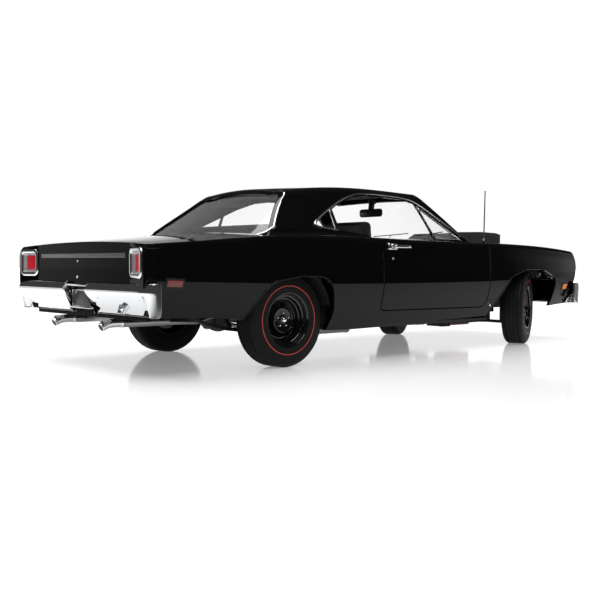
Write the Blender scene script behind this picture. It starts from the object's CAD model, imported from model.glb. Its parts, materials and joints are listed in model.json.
"""Looks of the 1:18 scale model muscle car: finishes, trim and the studio around it."""
import json
import math

import bmesh
import bpy
from mathutils import Matrix, Vector
from mathutils.bvhtree import BVHTree


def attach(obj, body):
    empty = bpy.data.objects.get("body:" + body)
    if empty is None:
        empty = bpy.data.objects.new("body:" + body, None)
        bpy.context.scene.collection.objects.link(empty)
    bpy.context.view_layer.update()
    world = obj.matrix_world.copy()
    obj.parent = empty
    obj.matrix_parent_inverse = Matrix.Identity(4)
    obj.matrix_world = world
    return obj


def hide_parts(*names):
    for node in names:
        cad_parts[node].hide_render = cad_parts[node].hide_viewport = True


bl_info = {
    "name": "Scale model muscle car",
    "version": (1, 0, 0),
    "blender": (4, 5, 0),
    "location": "3D View > Sidebar > Model Car",
    "description": "Builds the finishes, trim and studio of a scale model muscle car around its frame",
    "category": "Object",
}

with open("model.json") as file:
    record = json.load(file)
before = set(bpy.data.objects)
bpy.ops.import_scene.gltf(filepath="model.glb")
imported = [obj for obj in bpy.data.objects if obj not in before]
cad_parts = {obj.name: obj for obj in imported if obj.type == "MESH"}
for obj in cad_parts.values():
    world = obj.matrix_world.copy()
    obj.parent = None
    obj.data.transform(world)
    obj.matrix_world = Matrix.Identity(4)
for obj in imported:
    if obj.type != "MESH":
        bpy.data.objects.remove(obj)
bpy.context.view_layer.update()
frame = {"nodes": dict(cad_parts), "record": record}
MM = 0.001                  # the builders below work in millimetres

# places that the frame's own source also names, in millimetres and degrees
FRONT_AXLE_Y, REAR_AXLE_Y = -90.8, 72.9
HALF_TRACK = 42.0
TYRE_R = 19.2
KINGPIN_X = 34.4
STEER_REST = 25.0
NOSE_Y, NOSE_BOW, NOSE_HALF_W = -139.8, 4.0, 51.0
TAIL_Y = 139.6
LAMP_IN_X, LAMP_W, LAMP_LOW_Z, LAMP_TOP_Z = 36.8, 12.0, 36.4, 47.8
LAMP_SPLAY = 11.2
SIDES = (("left", 1), ("right", -1))


# ---------------------------------------------------------------- settings
def colour_setting(name, description, default):
    return bpy.props.FloatVectorProperty(
        name=name, description=description, subtype="COLOR", size=4, default=default, min=0.0, max=1.0)


def length_setting(name, description, default, low, high):
    """A length, stated here in millimetres."""
    return bpy.props.FloatProperty(
        name=name, description=description, unit="LENGTH",
        default=default * MM, min=low * MM, max=high * MM)


def count_setting(name, description, default, low, high):
    return bpy.props.IntProperty(name=name, description=description, default=default, min=low, max=high)


class CarPaint(bpy.types.PropertyGroup):
    body_colour: colour_setting("Body", "Enamel on the body casting", (0.0018, 0.0018, 0.0022, 1.0))
    line_colour: colour_setting("Tyre line", "Printed line round each tyre's wall", (0.5, 0.045, 0.03, 1.0))
    engine_colour: colour_setting("Engine", "Enamel on the engine", (0.52, 0.05, 0.015, 1.0))
    edge_round: length_setting("Edge rounding", "Softness of the casting's edges under the paint", 0.25, 0, 2)


class CarTrim(bpy.types.PropertyGroup):
    bead: length_setting("Moulding width", "Half width of the mouldings round the windows", 0.55, 0.1, 2)
    grille_bars: count_setting("Grille bars", "Bright bars across the grille", 7, 2, 14)
    pleats: count_setting("Seat pleats", "Moulded pleats across one front seat", 9, 3, 16)


class CarWheels(bpy.types.PropertyGroup):
    steps: count_setting("Steps", "Faces round each tyre and wheel", 120, 24, 200)
    lugs: count_setting("Lug nuts", "Nuts round each hub", 5, 3, 8)
    line_radius: length_setting("Line radius", "Radius of the printed line on a tyre's wall", 13.9, 12, 17)


class CarStage(bpy.types.PropertyGroup):
    camera_place: bpy.props.FloatVectorProperty(
        name="Camera", description="Where the camera stands", subtype="TRANSLATION",
        default=(-0.318513, 0.309364, 0.042195))
    azimuth: bpy.props.FloatProperty(
        name="Azimuth", description="The camera's heading round the car", subtype="ANGLE",
        default=math.radians(-131.832))
    elevation: bpy.props.FloatProperty(
        name="Elevation", description="How far the camera looks down", subtype="ANGLE",
        default=math.radians(2.362))
    roll: bpy.props.FloatProperty(
        name="Roll", description="The camera's lean", subtype="ANGLE", default=math.radians(0.1835))
    lens: bpy.props.FloatProperty(
        name="Lens", description="Focal length on a 36 mm frame", default=53.65, min=10.0, max=300.0)


# ---------------------------------------------------------------- shader tools
def node(tree, kind, **values):
    """A new node with its properties and unlinked sockets set."""
    made = tree.nodes.new(kind)
    for key, value in values.items():
        if key.startswith("in_"):
            made.inputs[key[3:].replace("_", " ")].default_value = value
        else:
            setattr(made, key, value)
    return made


def link(tree, a, b):
    tree.links.new(a, b)


def surface(name, colour, roughness, metallic=0.0, **values):
    """A material with one Principled shader; returns the material, its tree and the shader."""
    made = bpy.data.materials.new(name)
    made.use_nodes = True
    tree = made.node_tree
    shader = tree.nodes["Principled BSDF"]
    shader.inputs["Base Color"].default_value = (*colour[:3], 1.0)
    shader.inputs["Roughness"].default_value = roughness
    shader.inputs["Metallic"].default_value = metallic
    for key, value in values.items():
        shader.inputs[key.replace("_", " ")].default_value = value
    made.diffuse_color = (*colour[:3], 1.0)
    return made, tree, shader


def ranged(tree, value, low, high, to_low=0.0, to_high=1.0):
    """A value carried from one range to another, and held at its ends."""
    made = node(tree, "ShaderNodeMapRange", in_From_Min=low, in_From_Max=high,
                in_To_Min=to_low, in_To_Max=to_high)
    link(tree, value, made.inputs["Value"])
    return made.outputs["Result"]


def maths(tree, operation, *terms):
    """One step of arithmetic on sockets and constants."""
    made = node(tree, "ShaderNodeMath", operation=operation)
    for socket, term in zip(made.inputs, terms):
        if isinstance(term, bpy.types.NodeSocket):
            link(tree, term, socket)
        else:
            socket.default_value = term
    return made.outputs[0]


def group_socket(tree, name, out=False, default=None):
    made = tree.interface.new_socket(
        name=name, in_out="OUTPUT" if out else "INPUT", socket_type="NodeSocketFloat")
    if default is not None:
        made.default_value = default


def build_grain_group():
    """Fine unevenness of a coat or moulding: a height, and a mask that varies slowly."""
    tree = bpy.data.node_groups.new("Fine grain", "ShaderNodeTree")
    group_socket(tree, "Scale", default=400.0)
    group_socket(tree, "Detail", default=2.0)
    group_socket(tree, "Height", out=True)
    group_socket(tree, "Mask", out=True)
    ins, outs = node(tree, "NodeGroupInput"), node(tree, "NodeGroupOutput")
    coords = node(tree, "ShaderNodeTexCoord")
    fine = node(tree, "ShaderNodeTexNoise", in_Roughness=0.55)
    slow = node(tree, "ShaderNodeTexNoise", in_Scale=28.0, in_Detail=3.0)
    link(tree, coords.outputs["Object"], fine.inputs["Vector"])
    link(tree, coords.outputs["Object"], slow.inputs["Vector"])
    link(tree, ins.outputs["Scale"], fine.inputs["Scale"])
    link(tree, ins.outputs["Detail"], fine.inputs["Detail"])
    link(tree, fine.outputs["Fac"], outs.inputs["Height"])
    link(tree, slow.outputs["Fac"], outs.inputs["Mask"])
    return tree


def place_group(tree, group, **values):
    made = tree.nodes.new("ShaderNodeGroup")
    made.node_tree = group
    for key, value in values.items():
        made.inputs[key].default_value = value
    return made


def roughen(tree, shader, grain, low, high):
    """Roughness between two values by the grain group's slow mask."""
    link(tree, ranged(tree, grain.outputs["Mask"], 0.3, 0.7, low, high), shader.inputs["Roughness"])


def bumped(tree, shader, grain, distance, rounding=0.0):
    """Grain as bump, over edges rounded in the shader."""
    bump = node(tree, "ShaderNodeBump", in_Distance=distance, in_Strength=1.0)
    link(tree, grain.outputs["Height"], bump.inputs["Height"])
    if rounding:
        soft = node(tree, "ShaderNodeBevel", in_Radius=rounding, samples=4)
        link(tree, soft.outputs["Normal"], bump.inputs["Normal"])
    link(tree, bump.outputs["Normal"], shader.inputs["Normal"])


MATERIALS = {}
PAINT_SHINE = (0.15, 0.04)      # specular level of the paint, and of the tail
TAIL_FACING = (0.8, 0.95)       # how squarely a face looks back as the first gives way to the second

# Plain finishes. Those with more settings, or with a colour of the panel, are in build_materials.
# finish: colour, roughness from and to, grain scale, grain depth in metres, metallic, edge rounding in metres
PLAIN_FINISHES = {
    "chrome": ((0.78, 0.79, 0.8), (0.03, 0.08), 500.0, 1e-6, 1.0, 0.15e-3),
    "wheel_paint": ((0.003, 0.003, 0.0034), (0.06, 0.14), 400.0, 3e-6, 0.0, 0.0),
    "interior": ((0.012, 0.012, 0.013), (0.4, 0.58), 1400.0, 2e-5, 0.0, 0.1e-3),
    "seat_vinyl": ((0.011, 0.011, 0.012), (0.34, 0.5), 1800.0, 2e-5, 0.0, 0.0),
    "underbody": ((0.006, 0.006, 0.0065), (0.4, 0.65), 900.0, 2e-5, 0.0, 0.1e-3),
    "bare_metal": ((0.36, 0.37, 0.38), (0.22, 0.42), 700.0, 1e-5, 1.0, 0.1e-3),
    "scoop_paint": ((0.042, 0.043, 0.046), (0.3, 0.42), 900.0, 1e-5, 0.0, 0.2e-3),
    "plate_blank": ((0.055, 0.055, 0.06), (0.3, 0.45), 700.0, 1e-5, 0.0, 0.0),
    "headliner": ((0.3, 0.3, 0.295), (0.5, 0.7), 1600.0, 2e-5, 0.0, 0.0),
    "satin_strip": ((0.16, 0.16, 0.17), (0.28, 0.4), 600.0, 4e-6, 0.6, 0.0),
    "inner_well": ((0.004, 0.004, 0.0045), (0.5, 0.7), 800.0, 1e-5, 0.0, 0.0),
    "lamp_well": ((0.42, 0.43, 0.44), (0.25, 0.35), 500.0, 2e-6, 0.5, 0.0),
    "marker_red": ((0.13, 0.014, 0.012), (0.12, 0.2), 300.0, 4e-6, 0.0, 0.0),
    "whip_steel": ((0.09, 0.09, 0.095), (0.2, 0.3), 500.0, 2e-6, 1.0, 0.0),
    "dial": ((0.02, 0.022, 0.024), (0.15, 0.25), 500.0, 2e-6, 0.0, 0.0),
}


def build_materials(paint):
    grain = build_grain_group()

    def finish(slot, colour, rough, scale, depth, metallic=0.0, rounding=0.0, **values):
        made, tree, shader = surface(slot, colour, rough[0], metallic, **values)
        placed = place_group(tree, grain, Scale=scale)
        roughen(tree, shader, placed, *rough)
        bumped(tree, shader, placed, depth, rounding)
        MATERIALS[slot] = made

    for slot, row in PLAIN_FINISHES.items():
        finish(slot, *row)
    finish("body_paint", paint.body_colour, (0.015, 0.04), 240.0, 1.5e-6, rounding=paint.edge_round)
    dull_tail("body_paint")
    finish("tyre", (0.0055, 0.0052, 0.0052), (0.5, 0.65), 1500.0, 1e-5, Specular_IOR_Level=0.16)
    finish("black_trim", (0.005, 0.005, 0.0055), (0.35, 0.5), 900.0, 8e-6, Specular_IOR_Level=0.2)
    finish("engine_paint", paint.engine_colour, (0.25, 0.45), 900.0, 1e-5, rounding=0.1 * MM)
    finish("tyre_line", paint.line_colour, (0.4, 0.55), 1500.0, 6e-6)
    finish("amber_lens", (0.85, 0.24, 0.02), (0.1, 0.2), 300.0, 6e-6)
    finish("red_lens", (0.62, 0.008, 0.02), (0.1, 0.2), 300.0, 6e-6)
    finish("lamp_glass", (0.8, 0.82, 0.84), (0.05, 0.12), 300.0, 1e-5, Transmission_Weight=0.25)
    finish("glass", (1.0, 1.0, 1.0), (0.0, 0.012), 90.0, 4e-7, Transmission_Weight=1.0, IOR=1.2)


def dull_tail(slot):
    """Gives the paint its shine, less on the faces that look straight back."""
    tree = MATERIALS[slot].node_tree
    shader = tree.nodes["Principled BSDF"]
    coords = node(tree, "ShaderNodeTexCoord")
    parts = node(tree, "ShaderNodeSeparateXYZ")
    link(tree, coords.outputs["Normal"], parts.inputs[0])
    shine = ranged(tree, parts.outputs["Y"], *TAIL_FACING, *PAINT_SHINE)
    link(tree, shine, shader.inputs["Specular IOR Level"])


def dress_nodes():
    """Every carried-over node takes the finish of its own slot."""
    for sub in frame["record"]["subparts"]:
        obj = frame["nodes"][sub["node"]]
        obj.data.materials.clear()
        obj.data.materials.append(MATERIALS[sub["material_slot"]])


# ---------------------------------------------------------------- shapes, in millimetres
FORWARD, UPWARD = Vector((0, -1, 0)), Vector((0, 0, 1))


def rounded(bm, edges, offset, segments=2, clamp=True):
    """Rounds some edges of a shape."""
    bmesh.ops.bevel(bm, geom=edges, offset=offset, segments=segments, affect="EDGES",
                    profile=0.5, material=-1, clamp_overlap=clamp)


def brick(low, high, soft=0.0, segments=2):
    """A box between two corners, its edges rounded."""
    bm = bmesh.new()
    bmesh.ops.create_cube(bm, size=1.0)
    bmesh.ops.scale(bm, vec=[b - a for a, b in zip(low, high)], verts=bm.verts)
    bmesh.ops.translate(bm, vec=[(a + b) / 2 for a, b in zip(low, high)], verts=bm.verts)
    if soft:
        rounded(bm, bm.edges[:], soft, segments)
    return bm


def rod(start, end, radius, end_radius=None, sides=20, soft=0.0):
    """A round bar or cone from one point to another."""
    a, b = Vector(start), Vector(end)
    bm = bmesh.new()
    turn = (b - a).to_track_quat("Z", "Y").to_matrix().to_4x4()
    bmesh.ops.create_cone(
        bm, cap_ends=True, segments=sides, radius1=radius,
        radius2=radius if end_radius is None else end_radius,
        depth=(b - a).length, matrix=Matrix.Translation((a + b) / 2) @ turn)
    if soft:
        rims = [e for e in bm.edges if any(len(f.verts) > 4 for f in e.link_faces)]
        rounded(bm, rims, soft, clamp=False)
    return bm


def slab(outline, axis, low, high, soft=0.0):
    """A prism along an axis from an outline in the other two coordinates, in their order."""
    bm = bmesh.new()
    others = [i for i in range(3) if i != axis]
    verts = []
    for pair in outline:
        place = [0.0, 0.0, 0.0]
        place[axis] = low
        place[others[0]], place[others[1]] = pair
        verts.append(bm.verts.new(place))
    face = bm.faces.new(verts)
    made = bmesh.ops.extrude_face_region(bm, geom=[face])["geom"]
    push = [0.0, 0.0, 0.0]
    push[axis] = high - low
    bmesh.ops.translate(bm, vec=push, verts=[g for g in made if isinstance(g, bmesh.types.BMVert)])
    if soft:
        rounded(bm, bm.edges[:], soft)
    return bm


def lathe(profile, steps):
    """A turned shape about X from (x, radius) pairs."""
    bm = bmesh.new()
    verts = [bm.verts.new((x, 0.0, r)) for x, r in profile]
    edges = [bm.edges.new(pair) for pair in zip(verts, verts[1:])]
    bmesh.ops.spin(bm, geom=verts + edges, cent=(0, 0, 0), axis=(1, 0, 0), angle=math.tau,
                   steps=steps, use_merge=True)
    bmesh.ops.remove_doubles(bm, verts=bm.verts, dist=0.001)
    return bm


def swept(points, ups, half_w, half_h, sides=8, closed=False):
    """A bead along a path. ups point out of the surface that it lies on; one can serve the whole path."""
    bm = bmesh.new()
    count = len(points)
    if isinstance(ups, Vector):
        ups = [ups] * count
    rings = []
    for i in range(count):
        before = points[i - 1] if i or closed else points[i]
        after = points[(i + 1) % count] if i < count - 1 or closed else points[i]
        along = (after - before).normalized()
        up = (ups[i] - along * ups[i].dot(along)).normalized()
        turn = Matrix((along.cross(up) * half_w, up * half_h, along)).transposed().to_4x4()
        made = bmesh.ops.create_circle(bm, cap_ends=False, segments=sides, radius=1.0,
                                       matrix=Matrix.Translation(points[i]) @ turn)
        rings.append(list({e for vert in made["verts"] for e in vert.link_edges}))
    for a, b in zip(rings, rings[1:] + (rings[:1] if closed else [])):
        bmesh.ops.bridge_loops(bm, edges=a + b)
    if not closed:
        bmesh.ops.holes_fill(bm, edges=rings[0] + rings[-1], sides=sides)
    return bm


def pipe(points, radius, sides=10):
    """A round pipe through points."""
    path = [Vector(p) for p in points]
    up = Vector((0, 0, 1)) if abs((path[1] - path[0]).normalized().z) < 0.9 else Vector((1, 0, 0))
    return swept(path, up, radius, radius, sides)


def eased(places, rounds=2):
    """A path with its corners cut, and the cuts' own corners cut again."""
    path = [Vector(p) for p in places]
    for _ in range(rounds):
        cut = [p for a, b in zip(path, path[1:]) for p in (a.lerp(b, 0.25), a.lerp(b, 0.75))]
        path = [path[0], *cut[1:-1], path[-1]]
    return path


def straight(start, end, stops):
    """Points on a line at the given shares of its length."""
    a, b = Vector(start), Vector(end)
    return [a.lerp(b, t) for t in stops]


class Piece:
    """A piece in the making: shapes joined in millimetres, each with one of the piece's finishes."""

    def __init__(self, name, body, *finishes, slot=None):
        self.name, self.body, self.finishes = name.lower().replace(" ", "_"), body, finishes
        self.slot = slot or finishes[0]
        self.bm = bmesh.new()

    def add(self, shape, matrix=None, finish=None):
        if matrix:
            bmesh.ops.transform(shape, matrix=matrix, verts=shape.verts)
        if finish:
            for face in shape.faces:
                face.material_index = self.finishes.index(finish)
        bmesh.ops.recalc_face_normals(shape, faces=shape.faces)
        held = bpy.data.meshes.new("held")
        shape.to_mesh(held)
        shape.free()
        self.bm.from_mesh(held)
        bpy.data.meshes.remove(held)
        return self

    def fit(self, rows, matrix=None):
        """Adds rows of a finish, a shape's function and what that function takes."""
        for finish, shape, *sizes in rows:
            self.add(shape(*sizes), matrix, finish)

    def done(self, *replaced, angle=34.0):
        bmesh.ops.scale(self.bm, vec=(MM, MM, MM), verts=self.bm.verts)
        mesh = bpy.data.meshes.new(self.name)
        self.bm.to_mesh(mesh)
        self.bm.free()
        mesh.shade_smooth()
        mesh.set_sharp_from_angle(angle=math.radians(angle))
        for finish in self.finishes:
            mesh.materials.append(MATERIALS[finish])
        made = bpy.data.objects.new(self.name, mesh)
        bpy.context.scene.collection.objects.link(made)
        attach(made, self.body)
        if replaced:
            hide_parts(*replaced)


# ---------------------------------------------------------------- places on the carried-over nodes
TREES = {}


def tree_of(*names):
    """Surface of some carried-over nodes, in millimetres."""
    if names not in TREES:
        verts, faces = [], []
        for name in names:
            mesh = frame["nodes"][name].data
            start = len(verts)
            verts += [vert.co / MM for vert in mesh.vertices]
            faces += [[start + i for i in face.vertices] for face in mesh.polygons]
        TREES[names] = BVHTree.FromPolygons(verts, faces)
    return TREES[names]


def cast(tree, origin, direction):
    """Where a ray meets a surface and the way it faces there, towards the ray, or None."""
    place, normal = tree.ray_cast(Vector(origin), Vector(direction))[:2]
    if place is None:
        return None
    return place, normal if normal.dot(Vector(direction)) < 0 else -normal


def on_side(tree, pairs, side, lift=0.0):
    """Points and outward directions on the car's side at the given (y, z)."""
    hits = [cast(tree, (side * 80, y, z), (-side, 0, 0)) for y, z in pairs]
    hits = [h for h in hits if h]
    return [place + normal * lift for place, normal in hits], [normal for _, normal in hits]


def seat_on_side(tree, y, z, side):
    """A frame on the car's side: X towards the tail, Y up the panel, Z outwards."""
    place, out = cast(tree, (side * 80, y, z), (-side, 0, 0))
    back = (Vector((0, 1, 0)) - out * out.y).normalized()
    up = out.cross(back) * side
    return Matrix.Translation(place) @ Matrix((back, up, out)).transposed().to_4x4()


def rim_of(name, facing, middle_z, reach, count=120):
    """The rim of a screen, found from its own node: points in order and the way it faces."""
    tree = tree_of(name)
    points, ups = [], []
    for k in range(count):
        angle = math.tau * k / count
        low, high, best = 0.0, reach, None
        for _ in range(18):
            middle = (low + high) / 2
            origin = (middle * math.cos(angle), facing * 200, middle_z + middle * math.sin(angle))
            found = cast(tree, origin, (0, -facing, 0))
            if found:
                low, best = middle, found
            else:
                high = middle
        points.append(best[0])
        ups.append(best[1])
    return points, ups


def filleted(corners, steps):
    """A path through (y, z, radius) corners, each rounded."""
    path = []
    for i, (y, z, radius) in enumerate(corners):
        corner = Vector((y, z))
        if not radius or i in (0, len(corners) - 1):
            path.append(corner)
            continue
        a = (Vector(corners[i - 1][:2]) - corner).normalized()
        b = (Vector(corners[i + 1][:2]) - corner).normalized()
        half = a.angle(b) / 2
        reach = radius / math.tan(half)
        centre = corner + (a + b).normalized() * (radius / math.sin(half))
        for k in range(steps + 1):
            spoke = (corner + a * reach - centre).lerp(corner + b * reach - centre, k / steps)
            path.append(centre + spoke.normalized() * radius)
    return path


def flip(side):
    """Shapes made for the left side, put on the given side."""
    return Matrix.Scale(side, 4, (1, 0, 0))


BOTH_SIDES = [flip(side) for _, side in SIDES]


def turned(place, degrees, axis):
    """Puts a shape at a place, turned about an axis through it."""
    return Matrix.Translation(place) @ Matrix.Rotation(math.radians(degrees), 4, axis)


def round_rect(x0, x1, z0, z1, radius, y=0.0, steps=5):
    """Points round a rectangle with round corners, in a plane across Y."""
    points = []
    left, right, low, high = x0 + radius, x1 - radius, z0 + radius, z1 - radius
    for quarter, (x, z) in enumerate(((right, high), (left, high), (left, low), (right, low))):
        for k in range(steps + 1):
            angle = math.pi / 2 * (quarter + k / steps)
            points.append(Vector((x + radius * math.cos(angle), y, z + radius * math.sin(angle))))
    return points


def funnel(outer, inner):
    """A thin wall between two loops of as many points."""
    bm = bmesh.new()
    loops = [[bm.verts.new(p) for p in loop] for loop in (outer, inner)]
    for k in range(len(outer)):
        bm.faces.new([loops[0][k - 1], loops[0][k], loops[1][k], loops[1][k - 1]])
    bmesh.ops.recalc_face_normals(bm, faces=bm.faces)
    bmesh.ops.solidify(bm, geom=bm.faces[:], thickness=0.12)
    return bm


def nose_y(x, back):
    """The nose's bowed face at x, and as far again behind it."""
    return NOSE_Y + back + NOSE_BOW * (x / NOSE_HALF_W) ** 2


# ---------------------------------------------------------------- operators
class CAR_OT_finishes(bpy.types.Operator):
    """Make the finishes and put them on the carried-over nodes"""
    bl_idname = "model_car.finishes"
    bl_label = "Finishes"

    def execute(self, context):
        build_materials(context.scene.car_paint)
        dress_nodes()
        return {"FINISHED"}


# tyre section, outer half: x from the middle plane, radius
TYRE_SECTION = (
    (4.7, 10.25), (5.45, 11.15), (5.62, 11.5), (5.5, 11.75), (5.62, 12.3), (5.7, 12.6), (5.62, 12.75),
    (5.76, 13.6), (5.82, 13.72), (5.82, 14.08), (5.77, 14.2), (5.78, 15.4), (5.64, 16.6), (5.36, 17.5),
    (5.4, 17.68), (5.12, 18.2), (4.7, 18.7), (4.2, 19.05), (3.75, 19.2), (2.95, 19.2), (2.9, 18.95),
    (2.6, 18.95), (2.55, 19.2), (1.05, 19.2), (1.0, 18.95), (0.7, 18.95), (0.65, 19.2))
# wheel section, all round: x, radius
WHEEL_SECTION = (
    (5.25, 11.4), (5.5, 11.15), (5.45, 10.75), (5.05, 10.4), (3.9, 10.15), (3.5, 9.95), (3.4, 9.5),
    (3.2, 9.3), (2.1, 9.1), (1.8, 8.9), (1.7, 8.5), (1.4, 8.3), (0.2, 8.1), (-0.1, 7.8), (-0.1, 7.3),
    (0.3, 6.7), (1.3, 5.9), (1.9, 5.45), (2.3, 5.3), (2.4, 5.05), (2.2, 4.85), (1.6, 4.6), (1.45, 4.2),
    (1.45, 1.9), (1.6, 1.75), (2.3, 1.7), (2.5, 1.5), (2.5, 0.0), (-0.2, 0.0), (-0.2, 4.4), (0.6, 4.9),
    (-0.9, 7.0), (-0.9, 8.3), (-0.3, 9.2), (-4.2, 9.4), (-5.3, 10.4), (-5.35, 11.3), (-4.9, 11.4),
    (-4.5, 10.15), (4.5, 10.15), (4.9, 11.4), (5.25, 11.4))
# hub cap section: x, radius
CAP_SECTION = ((2.4, 0.0), (2.4, 1.25), (2.9, 1.2), (3.3, 0.95), (3.55, 0.5), (3.6, 0.0))
NUT_CIRCLE_R = 2.8
LINE_HALF_W = 0.15          # the printed line, and the raised band that carries it
LINE_BAND_X = 5.7
BLOCK_R = 19.1              # every other block of the tread's outer rows is sunk
BLOCK_FROM_X, BLOCK_TO_X = 2.6, 3.9
CORNERS = (("front_left", 1, FRONT_AXLE_Y, True), ("front_right", -1, FRONT_AXLE_Y, True),
           ("rear_left", 1, REAR_AXLE_Y, False), ("rear_right", -1, REAR_AXLE_Y, False))


def corner_matrix(side, axle_y, steered):
    """Puts a wheel made about X, outer face towards +X, at its place."""
    place = Matrix.Translation((side * HALF_TRACK, axle_y, TYRE_R)) @ flip(side)
    if steered:
        pin = Vector((side * KINGPIN_X, axle_y, 0))
        place = turned(pin, STEER_REST, "Z") @ Matrix.Translation(-pin) @ place
    return place


class CAR_OT_wheels(bpy.types.Operator):
    """Four steel wheels with nuts and caps, and four tyres with a printed line"""
    bl_idname = "model_car.wheels"
    bl_label = "Wheels and tyres"

    def tyre(self, name, place, settings):
        section = list(TYRE_SECTION) + [(-x, r) for x, r in reversed(TYRE_SECTION)] + [TYRE_SECTION[0]]
        shape = lathe(section, settings.steps)
        line = settings.line_radius / MM
        sunk, line_finish = [], 1
        for face in shape.faces:
            middle = face.calc_center_median()
            radius = math.hypot(middle.y, middle.z)
            turn = int((math.atan2(middle.z, middle.y) / math.tau + 0.5) * settings.steps)
            if abs(radius - line) < LINE_HALF_W and middle.x > LINE_BAND_X:
                face.material_index = line_finish
            if radius > BLOCK_R and BLOCK_FROM_X < abs(middle.x) < BLOCK_TO_X and turn % 2:
                sunk.append(face)
        bmesh.ops.inset_individual(shape, faces=sunk, thickness=0.12, depth=-0.2)
        piece = Piece(f"Tyre {name}", f"wheel_{name}", "tyre", "tyre_line")
        piece.add(shape, place).done(f"tyre_{name}", angle=40)

    def wheel(self, name, place, settings):
        piece = Piece(f"Wheel {name}", f"wheel_{name}", "wheel_paint", "chrome", "black_trim")
        piece.add(lathe(WHEEL_SECTION, settings.steps), place)
        piece.add(lathe(CAP_SECTION, 32), place, "chrome")
        for k in range(settings.lugs):
            angle = math.tau * k / settings.lugs
            y, z = NUT_CIRCLE_R * math.sin(angle), NUT_CIRCLE_R * math.cos(angle)
            piece.add(rod((1.3, y, z), (2.3, y, z), 0.42, 0.34, 6, 0.06), place, "chrome")
        piece.add(rod((2.0, 8.9, 4.2), (4.4, 8.9, 4.2), 0.16, 0.13, 10, 0.03), place, "black_trim")
        piece.done(f"wheel_{name}", angle=30)

    def execute(self, context):
        for name, side, axle_y, steered in CORNERS:
            place = corner_matrix(side, axle_y, steered)
            self.tyre(name, place, context.scene.car_wheels)
            self.wheel(name, place, context.scene.car_wheels)
        return {"FINISHED"}


# paths on the left side, as (y, z)
DRIP_RAIL = ((-45.6, 53.7), (-31.0, 62.6), (-17.6, 71.5), (-8.4, 73.1), (15.4, 73.7), (25.7, 72.4),
             (35.6, 68.8), (52.6, 60.2), (54.6, 57.9), (51.0, 57.1), (42.0, 56.2))
VENT_FRAME = ((-41.3, 53.6), (-22.4, 53.6), (-17.9, 69.0))
SCREEN_MIDDLE_Z = 63.0
QUARTER_BAR_Y = 41.5        # the upright between door window and quarter window, as (x, z)
QUARTER_BAR = ((42.6, 56.0), (40.6, 60.6), (38.2, 65.2))
# arches: axle, panel, and the corners as (y from the axle, z, radius)
ARCHES = (
    (FRONT_AXLE_Y, "fender", ((40.6, 6.0, 0), (19.2, 35.6, 9), (6.0, 39.1, 16), (-11.0, 39.1, 12),
                              (-23.4, 34.6, 6.5), (-23.2, 22.0, 0), (-24.2, 6.0, 0))),
    (REAR_AXLE_Y, "quarter", ((34.2, 6.0, 0), (13.6, 34.6, 12), (-2.0, 36.8, 20), (-18.4, 36.4, 9),
                              (-21.6, 22.0, 8), (-17.0, 6.0, 0))))


class CAR_OT_mouldings(bpy.types.Operator):
    """Bright mouldings round the windows, and the rolled lips of the wheel arches"""
    bl_idname = "model_car.mouldings"
    bl_label = "Mouldings"

    def screen(self, name, facing, label, bead):
        points, ups = rim_of(name, facing, SCREEN_MIDDLE_Z, 60.0)
        middle = sum(points, Vector()) / len(points)
        ways = [(place - middle).normalized() for place in points]
        path = [place + way * bead * 0.9 + up * 0.45 for place, way, up in zip(points, ways, ups)]
        bright = swept(path, ups, bead * 1.25, 0.95, 12, True)
        Piece(label, "body", "chrome").add(bright).done()
        path = [place - way * 0.35 + up * 0.05 for place, way, up in zip(points, ways, ups)]
        seal = swept(path, ups, 0.5, 0.22, 6, True)
        Piece(f"{label} seal", "body", "black_trim", slot="glass").add(seal).done()

    def side_window(self, name, side, bead):
        tree = tree_of("roof", f"quarter_{name}")
        points, ups = on_side(tree, eased(DRIP_RAIL, 3), side, 0.15)
        rail = Piece(f"Drip rail {name}", "body", "chrome", "black_trim")
        rail.add(swept(points, ups, bead * 0.9, 0.6, 10))
        bar = [Vector((side * x, QUARTER_BAR_Y, z)) for x, z in QUARTER_BAR]
        out = Vector((side, 0, 0.5))
        rail.add(swept(bar, out, 0.8, 0.4), None, "black_trim")
        rail.add(swept([p + Vector((side * 0.2, 0.5, 0)) for p in bar], out, 0.28, 0.4), None, "chrome")
        rail.done()
        tree = tree_of(f"vent_window_{name}")
        points, ups = on_side(tree, [Vector(p) for p in VENT_FRAME], side, 0.0)
        ring = [a.lerp(b, k / 6) for a, b in zip(points, points[1:] + points[:1]) for k in range(6)]
        faces = [u for u in ups for _ in range(6)]
        rim = swept(ring, faces, 0.4, 0.6, 8, True)
        Piece(f"Vent frame {name}", f"door_{name}", "chrome").add(rim).done()

    def arches(self, name, side):
        piece = Piece(f"Arch lips {name}", "body", "body_paint")
        for axle_y, panel, corners in ARCHES:
            tree = tree_of(f"{panel}_{name}", f"rocker_{name}")
            middle = Vector((axle_y - 3, 18.0))
            path = filleted([(axle_y + dy, z, r) for dy, z, r in corners], 8)
            path = [a.lerp(b, k / 5) for a, b in zip(path, path[1:]) for k in range(5)]
            path = [p + (p - middle).normalized() * 0.45 for p in path]
            points, ups = on_side(tree, path, side, 0.02)
            piece.add(swept(points, ups, 0.4, 0.28))
        piece.done()

    def execute(self, context):
        bead = context.scene.car_trim.bead / MM
        self.screen("windshield", -1, "Windscreen moulding", bead)
        self.screen("rear_window", 1, "Rear window moulding", bead)
        for name, side in SIDES:
            self.side_window(name, side, bead)
            self.arches(name, side)
        return {"FINISHED"}


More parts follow.
